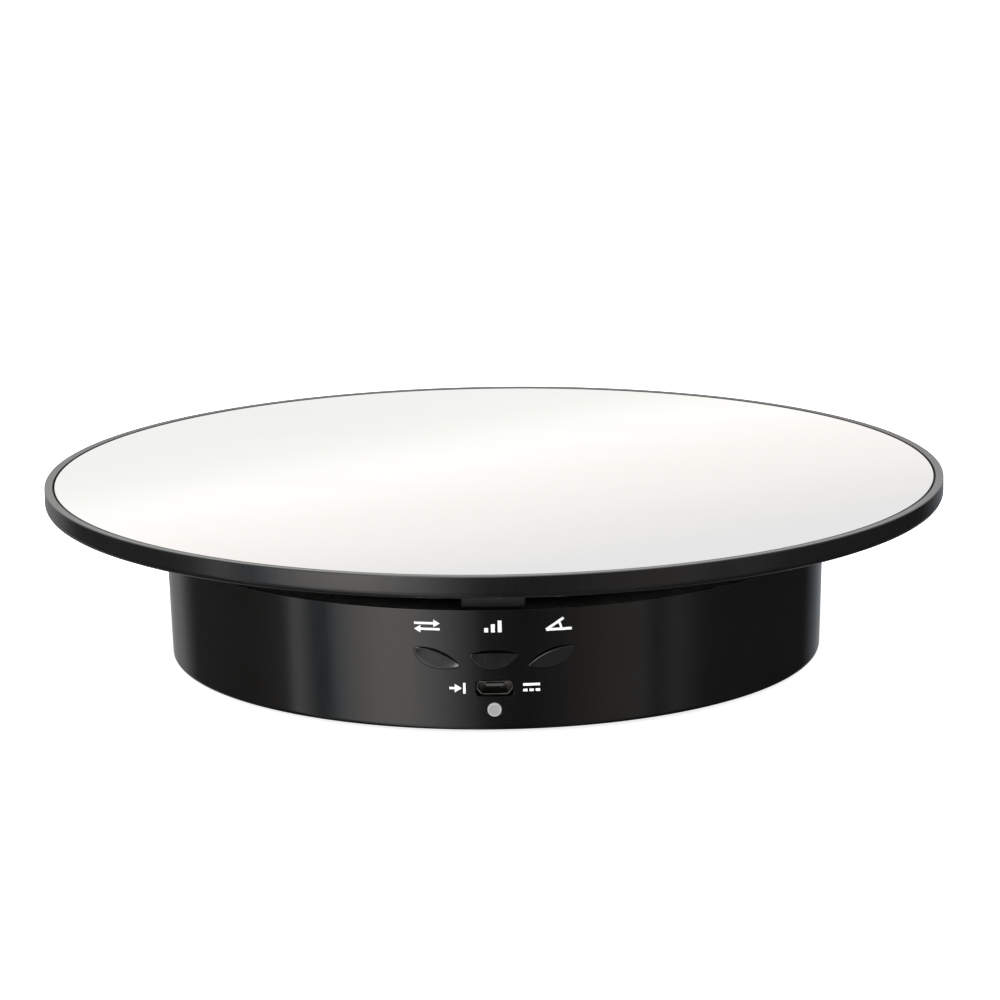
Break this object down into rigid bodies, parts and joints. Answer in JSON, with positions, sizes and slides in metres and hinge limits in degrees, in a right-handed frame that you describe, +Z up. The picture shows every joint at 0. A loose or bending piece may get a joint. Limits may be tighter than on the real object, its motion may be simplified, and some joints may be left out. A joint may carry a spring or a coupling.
{
  "type": "turntable display stand",
  "caption": "Motorised display turntable: mirror-topped disc turning on a short black drum with push buttons, a micro-USB inlet and an indicator light.",
  "frame": {"origin": "on the platter's axis, level with the soles of the feet", "axes": "+Z up along the platter's axis, the control panel faces -Y, +X is to the right of someone who faces the panel"},
  "size_m": [0.2, 0.2, 0.0408],
  "materials": {
    "black_plastic": "moulded ABS, semi-gloss black with a faint orange-peel",
    "mirror_glass": "silvered glass",
    "foam_tape": "white foam adhesive tape",
    "white_nylon": "natural nylon, matt",
    "brass": "turned",
    "steel": "zinc-plated",
    "button_plastic": "satin dark grey ABS",
    "chip_black": "moulded epoxy",
    "switch_cover": "stamped sheet",
    "rubber": "soft black rubber",
    "blue_plastic": "blue moulded plastic",
    "board_green": "green solder mask on fibreglass",
    "lead_sheath": "PVC-sheathed lead bundle",
    "light_window": "milky translucent acrylic"
  },
  "bodies": {
    "base": {"base_shell": "black_plastic", "top_cover": "black_plastic", "foot_1": "rubber", "foot_2": "rubber", "foot_3": "rubber", "foot_4": "rubber", "case_screw_1": "steel", "case_screw_2": "steel", "case_screw_3": "steel", "case_screw_4": "steel", "centre_washer": "steel", "centre_screw": "steel", "motor_can": "steel", "motor_plate": "steel", "motor_lead_cap": "blue_plastic", "motor_screw_1": "steel", "motor_screw_2": "steel", "motor_leads": "lead_sheath", "lead_plug": "white_nylon", "lead_socket": "white_nylon", "control_board": "board_green", "board_screw_1": "steel", "board_screw_2": "steel", "driver_chip": "chip_black", "control_chip": "chip_black", "capacitor": "blue_plastic", "switch_left": "switch_cover", "switch_centre": "switch_cover", "switch_right": "switch_cover", "inlet_shell": "steel", "inlet_tongue": "chip_black", "indicator_led": "light_window", "light_window": "light_window"},
    "platter": {"platter": "black_plastic", "mirror_disc": "mirror_glass", "mirror_tape": "foam_tape", "driven_gear": "white_nylon", "hub_bush": "brass", "gear_screw_1": "steel", "gear_screw_2": "steel", "gear_screw_3": "steel"},
    "ball_ring": {"ball_cage": "white_nylon", "ball_1": "steel", "ball_2": "steel", "ball_3": "steel", "ball_4": "steel", "ball_5": "steel", "ball_6": "steel", "ball_7": "steel", "ball_8": "steel"},
    "drive": {"motor_shaft": "steel", "pinion": "white_nylon"},
    "button_left": {"button_left": "button_plastic", "plunger_left": "chip_black"},
    "button_centre": {"button_centre": "button_plastic", "plunger_centre": "chip_black"},
    "button_right": {"button_right": "button_plastic", "plunger_right": "chip_black"}
  },
  "joints": [
    {"name": "platter_spin", "type": "hinge", "parent": "base", "child": "platter", "pos_m": [0, 0, 0.034], "axis": [0, 0, 1], "continuous": true},
    {"name": "ball_ring_spin", "type": "hinge", "parent": "base", "child": "ball_ring", "pos_m": [0, 0, 0.0312], "axis": [0, 0, 1], "continuous": true},
    {"name": "drive_spin", "type": "hinge", "parent": "base", "child": "drive", "pos_m": [0, 0.0376, 0.03], "axis": [0, 0, 1], "continuous": true},
    {"name": "button_left_press", "type": "slide", "parent": "base", "child": "button_left", "axis": [0, 1, 0], "range_m": [0, 0.0005], "stiffness_N_per_m": 2000, "springref_m": -0.0001},
    {"name": "button_centre_press", "type": "slide", "parent": "base", "child": "button_centre", "axis": [0, 1, 0], "range_m": [0, 0.0005], "stiffness_N_per_m": 2000, "springref_m": -0.0001},
    {"name": "button_right_press", "type": "slide", "parent": "base", "child": "button_right", "axis": [0, 1, 0], "range_m": [0, 0.0005], "stiffness_N_per_m": 2000, "springref_m": -0.0001}
  ],
  "couplings": [
    {"joint": "ball_ring_spin", "follows": "platter_spin", "ratio": 0.5},
    {"joint": "drive_spin", "follows": "platter_spin", "ratio": -4}
  ]
}
